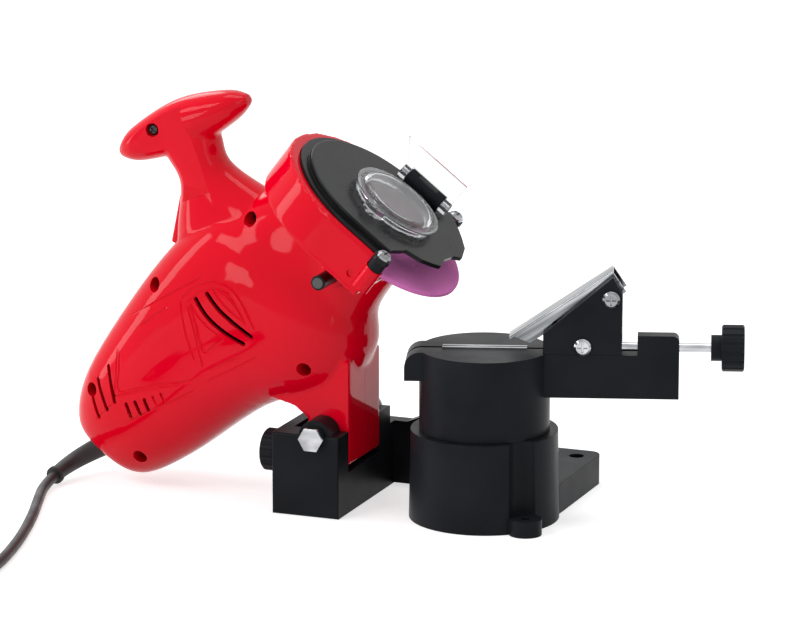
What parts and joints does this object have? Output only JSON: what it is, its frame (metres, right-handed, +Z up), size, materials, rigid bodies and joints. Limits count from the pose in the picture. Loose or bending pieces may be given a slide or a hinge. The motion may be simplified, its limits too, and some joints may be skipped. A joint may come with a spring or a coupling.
{
  "type": "electric chainsaw sharpener",
  "caption": "Bench grinder for saw chain: a tilting motor head with guarded wheel over a swivelling chain vise with clamp, feed screw and pawl.",
  "frame": {"origin": "on the bench, midway between the two bench bolts of the base's rear bar", "axes": "+X right along the base's front edge, +Y away from the operator, +Z up off the bench"},
  "size_m": [0.4511, 0.4729, 0.2359],
  "materials": {
    "red_abs": "high gloss red ABS",
    "black_nylon": "fine-textured black nylon",
    "black_cover": "satin black plate",
    "chrome": "zinc or chrome plated steel",
    "steel": "turned or laminated steel",
    "copper": "enamelled copper wire",
    "brass": "drawn brass",
    "carbon": "pressed carbon",
    "abrasive": "purple aluminium-oxide grit",
    "clear": "clear polycarbonate",
    "rubber": "black rubber",
    "grey_cap": "black button"
  },
  "bodies": {
    "base": {"base": "black_nylon", "vise_foot": "black_nylon", "pivot_bolt": "chrome", "pivot_nut": "chrome", "depth_nut": "chrome", "cord": "rubber", "cord_coil": "rubber", "cord_tail": "rubber", "plug": "rubber", "plug_pins": "brass"},
    "head": {"housing_front": "red_abs", "housing_rear": "red_abs", "housing_screws": "steel", "spindle_bearings": "steel", "motor_bearings": "steel", "stator": "steel", "field_coils": "copper", "brush_holders": "brass", "carbon_brushes": "carbon", "switch_body": "black_nylon", "wheel_cover": "black_cover", "cover_spacers": "black_nylon", "cover_screws": "chrome", "hub_cap": "clear", "shield_clamp": "black_nylon", "shield_pin": "chrome", "strain_relief": "rubber"},
    "spindle_group": {"spindle": "steel", "spindle_gear": "steel", "inner_flange": "steel", "grinding_wheel": "abrasive", "outer_flange": "steel", "spindle_nut": "chrome"},
    "rotor": {"armature_shaft": "steel", "armature_core": "steel", "armature_windings": "copper", "commutator": "copper", "fan": "black_nylon", "pinion": "steel"},
    "shield": {"eye_shield": "clear"},
    "lock": {"lock_button": "grey_cap", "lock_pin": "steel"},
    "switch": {"switch_paddle": "red_abs"},
    "turret": {"turret_rail": "black_nylon", "fixed_jaw": "chrome", "angle_lock_bolt": "chrome"},
    "jaw": {"moving_jaw": "chrome"},
    "clamp": {"clamp_screw": "chrome", "clamp_knob": "black_nylon"},
    "angle_lock": {"angle_lock_knob": "black_nylon"},
    "carrier": {"pawl_carrier": "black_nylon", "pawl_pin_screw": "chrome", "pawl_pin_nut": "chrome", "carrier_screw": "chrome"},
    "pawl": {"chain_pawl": "chrome"},
    "advance": {"advance_screw": "chrome", "advance_knob": "black_nylon"},
    "depth_stop": {"depth_screw": "chrome"},
    "depth_dial": {"depth_knob": "black_nylon"}
  },
  "joints": [
    {"name": "head_tilt", "type": "hinge", "parent": "base", "child": "head", "pos_m": [-0.051, -0.0806, 0.0467], "axis": [0, 1, 0], "range_deg": [0, 17.5]},
    {"name": "wheel_spin", "type": "hinge", "parent": "head", "child": "spindle_group", "pos_m": [-0.09096, -0.0806, 0.07758], "axis": [0.6115, 0, 0.7912], "continuous": true},
    {"name": "rotor_spin", "type": "hinge", "parent": "head", "child": "rotor", "pos_m": [-0.12261, -0.0806, 0.10204], "axis": [0.6115, 0, 0.7912], "continuous": true},
    {"name": "shield_flip", "type": "hinge", "parent": "head", "child": "shield", "pos_m": [-0.0132, -0.0411, 0.17737], "axis": [0.7912, 0, -0.6115], "range_deg": [0, 85]},
    {"name": "lock_press", "type": "slide", "parent": "head", "child": "lock", "axis": [0, 1, 0], "range_m": [0, 0.007], "stiffness_N_per_m": 300, "springref_m": -0.004},
    {"name": "switch_press", "type": "slide", "parent": "head", "child": "switch", "axis": [0.9792, 0, -0.2028], "range_m": [0, 0.0025], "stiffness_N_per_m": 600, "springref_m": -0.003},
    {"name": "vise_swivel", "type": "hinge", "parent": "base", "child": "turret", "pos_m": [0.0375, -0.0806, 0], "axis": [0, 0, 1], "range_deg": [-53, 17]},
    {"name": "jaw_slide", "type": "slide", "parent": "turret", "child": "jaw", "axis": [0.309, -0.9511, 0], "range_m": [-0.0002, 0.0006]},
    {"name": "clamp_turn", "type": "hinge", "parent": "jaw", "child": "clamp", "pos_m": [0.0375, -0.0806, 0.077], "axis": [0.309, -0.9511, 0], "range_deg": [-72, 216]},
    {"name": "angle_lock_turn", "type": "hinge", "parent": "turret", "child": "angle_lock", "pos_m": [0.0375, -0.0806, 0.02], "axis": [0, 0, 1], "range_deg": [0, 360]},
    {"name": "carrier_slide", "type": "slide", "parent": "turret", "child": "carrier", "axis": [0.9511, 0.309, 0], "range_m": [-0.008, 0.005]},
    {"name": "advance_turn", "type": "hinge", "parent": "carrier", "child": "advance", "pos_m": [0.1356, -0.05892, 0.1026], "axis": [0.9511, 0.309, 0], "range_deg": [-3600, 2250]},
    {"name": "pawl_lift", "type": "hinge", "parent": "carrier", "child": "pawl", "pos_m": [0.1055, -0.05851, 0.1309], "axis": [-0.309, 0.9511, 0], "range_deg": [0, 30]},
    {"name": "depth_slide", "type": "slide", "parent": "base", "child": "depth_stop", "axis": [1, 0, 0], "range_m": [-0.006, 0]},
    {"name": "depth_turn", "type": "hinge", "parent": "depth_stop", "child": "depth_dial", "pos_m": [-0.0825, -0.1006, 0.032], "axis": [1, 0, 0], "range_deg": [-2160, 0]}
  ],
  "couplings": [
    {"joint": "rotor_spin", "follows": "wheel_spin", "ratio": -4.3333},
    {"joint": "clamp_turn", "follows": "jaw_slide", "rad_per_m": 6283.2},
    {"joint": "advance_turn", "follows": "carrier_slide", "rad_per_m": 7854},
    {"joint": "depth_turn", "follows": "depth_slide", "rad_per_m": 6283.2}
  ]
}
